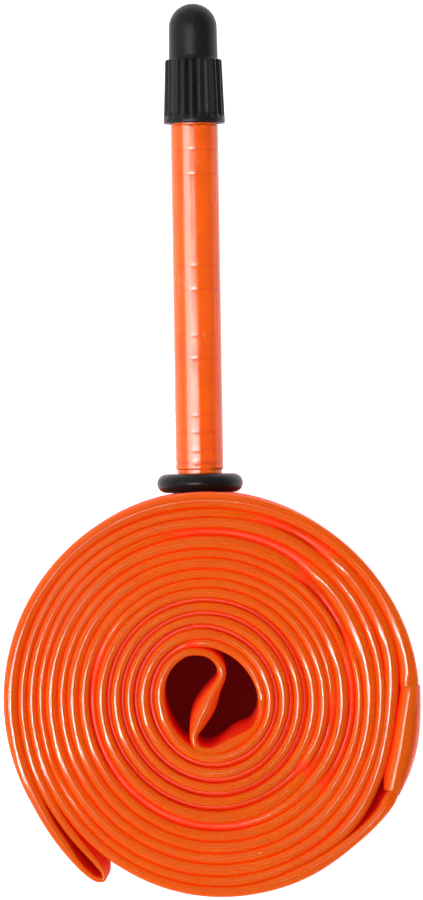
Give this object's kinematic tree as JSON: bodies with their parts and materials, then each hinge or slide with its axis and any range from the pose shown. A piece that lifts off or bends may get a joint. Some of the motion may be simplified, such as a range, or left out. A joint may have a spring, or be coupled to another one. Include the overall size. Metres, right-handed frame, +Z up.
{
  "type": "bicycle inner tube",
  "caption": "Lay-flat bicycle inner tube of smooth thermoplastic film, rolled up on its side, with a slim presta-type valve stem, rubber ring and ribbed dust cap.",
  "frame": {"origin": "bottom centre of the whole object's box, with the roll lying on its side on z = 0", "axes": "+Y along the valve from the roll to the cap, +Z up along the roll's own axis, +X across"},
  "size_m": [0.0518, 0.1116, 0.03],
  "materials": {
    "tube_film": "glossy, slightly translucent thermoplastic film",
    "stem_plastic": "satin moulded plastic",
    "ring_rubber": "satin rubber",
    "cap_plastic": "satin moulded plastic",
    "brass": "machined",
    "nickel": "nickel plated, knurled"
  },
  "bodies": {
    "tube": {"tube_body": "tube_film", "splice_sleeve": "tube_film", "valve_stem": "stem_plastic", "stem_insert": "brass"},
    "ring": {"o_ring": "ring_rubber"},
    "core_seal": {"core_gasket": "ring_rubber"},
    "valve_core": {"core_body": "brass"},
    "pin": {"core_pin": "brass", "pin_seal": "ring_rubber", "seal_cup": "brass"},
    "nut": {"lock_nut": "nickel"},
    "cap": {"dust_cap": "cap_plastic"}
  },
  "joints": [
    {"name": "ring_slide", "type": "slide", "parent": "tube", "child": "ring", "axis": [0, 1, 0], "range_m": [0, 0.0425]},
    {"name": "core_unscrew", "type": "hinge", "parent": "core_seal", "child": "valve_core", "pos_m": [-0.00102, 0.04386, 0.015], "axis": [0, 1, 0], "range_deg": [0, 2521]},
    {"name": "core_lift", "type": "slide", "parent": "tube", "child": "core_seal", "axis": [0, 1, 0], "range_m": [0, 0.00525]},
    {"name": "pin_press", "type": "slide", "parent": "valve_core", "child": "pin", "axis": [0, 1, 0], "range_m": [-0.00135, 0]},
    {"name": "nut_travel", "type": "slide", "parent": "pin", "child": "nut", "axis": [0, 1, 0], "range_m": [-0.0015, 0]},
    {"name": "cap_pull", "type": "slide", "parent": "valve_core", "child": "cap", "axis": [0, 1, 0], "range_m": [0, 0.025]}
  ],
  "couplings": [
    {"joint": "core_unscrew", "follows": "core_lift", "rad_per_m": 8377.6}
  ]
}
